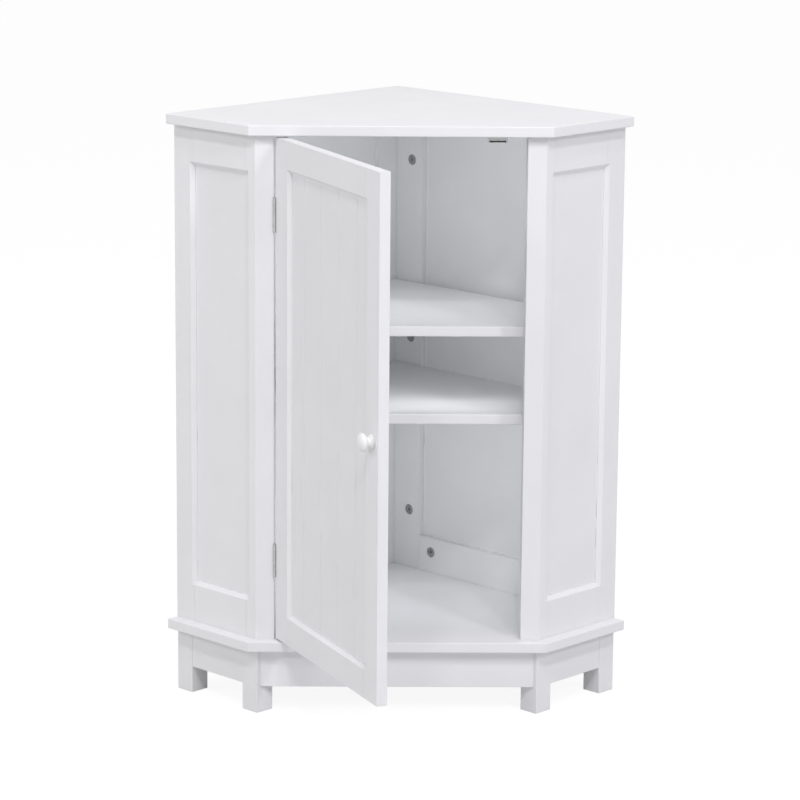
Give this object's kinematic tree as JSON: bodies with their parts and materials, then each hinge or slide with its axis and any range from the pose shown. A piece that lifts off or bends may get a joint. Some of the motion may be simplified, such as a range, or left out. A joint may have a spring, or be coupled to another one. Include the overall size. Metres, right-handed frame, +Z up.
{
  "type": "corner bathroom cabinet",
  "caption": "Five-sided corner cabinet on short square legs, with a grooved frame-and-panel door on butt hinges, shelves inside, a turned knob and a magnetic catch.",
  "frame": {"origin": "the room corner on the floor, where the back leg's two wall faces meet", "axes": "+Z up, -Y out of the cabinet's front into the room, +X to the right seen from the front; the room's walls run along y = -|x|"},
  "size_m": [0.6246, 0.7101, 0.7975],
  "materials": {
    "frame_paint": "satin white paint on fibreboard",
    "panel_paint": "satin white paint on thin fibreboard",
    "knob_paint": "semi-gloss white paint on turned wood",
    "hinge_steel": "white-grey coated steel",
    "screw_steel": "zinc-plated steel",
    "plated_steel": "nickel-plated steel",
    "cam_zinc": "die-cast zinc alloy",
    "bare_wood": "bare beech",
    "catch_plastic": "moulded",
    "magnet_ferrite": "bare ferrite"
  },
  "bodies": {
    "cabinet": {"back_leg": "frame_paint", "base_board": "frame_paint", "cam_bolts": "plated_steel", "cam_locks": "cam_zinc", "catch_housing": "catch_plastic", "catch_magnet": "magnet_ferrite", "catch_plates": "plated_steel", "catch_screws": "screw_steel", "dowels": "bare_wood", "front_apron": "frame_paint", "hinge_frame_screws": "screw_steel", "left_back_apron": "frame_paint", "left_back_bottom_rail": "frame_paint", "left_back_corner_stile": "frame_paint", "left_back_outer_stile": "frame_paint", "left_back_panel": "panel_paint", "left_back_top_rail": "frame_paint", "left_front_leg": "frame_paint", "left_front_post": "frame_paint", "left_outer_leg": "frame_paint", "left_side_apron": "frame_paint", "left_side_bottom_rail": "frame_paint", "left_side_panel": "panel_paint", "left_side_stile": "frame_paint", "left_side_top_rail": "frame_paint", "lower_hinge_frame_leaf": "hinge_steel", "lower_hinge_pin": "hinge_steel", "lower_shelf": "frame_paint", "right_back_apron": "frame_paint", "right_back_bottom_rail": "frame_paint", "right_back_corner_stile": "frame_paint", "right_back_outer_stile": "frame_paint", "right_back_panel": "panel_paint", "right_back_top_rail": "frame_paint", "right_front_leg": "frame_paint", "right_front_post": "frame_paint", "right_outer_leg": "frame_paint", "right_side_apron": "frame_paint", "right_side_bottom_rail": "frame_paint", "right_side_panel": "panel_paint", "right_side_stile": "frame_paint", "right_side_top_rail": "frame_paint", "shelf_pins": "plated_steel", "top_board": "frame_paint", "upper_hinge_frame_leaf": "hinge_steel", "upper_hinge_pin": "hinge_steel", "upper_shelf": "frame_paint"},
    "door": {"door_hinge_stile": "frame_paint", "door_latch_stile": "frame_paint", "door_bottom_rail": "frame_paint", "door_top_rail": "frame_paint", "door_panel": "panel_paint", "knob": "knob_paint", "knob_screw": "screw_steel", "strike_plate": "plated_steel", "strike_screw": "screw_steel", "upper_hinge_door_leaf": "hinge_steel", "lower_hinge_door_leaf": "hinge_steel", "hinge_door_screws": "screw_steel"}
  },
  "joints": [
    {"name": "door_hinge", "type": "hinge", "parent": "cabinet", "child": "door", "pos_m": [-0.16426, -0.41139, 0.443], "axis": [0, 0, -1], "range_deg": [-66, 84]}
  ]
}
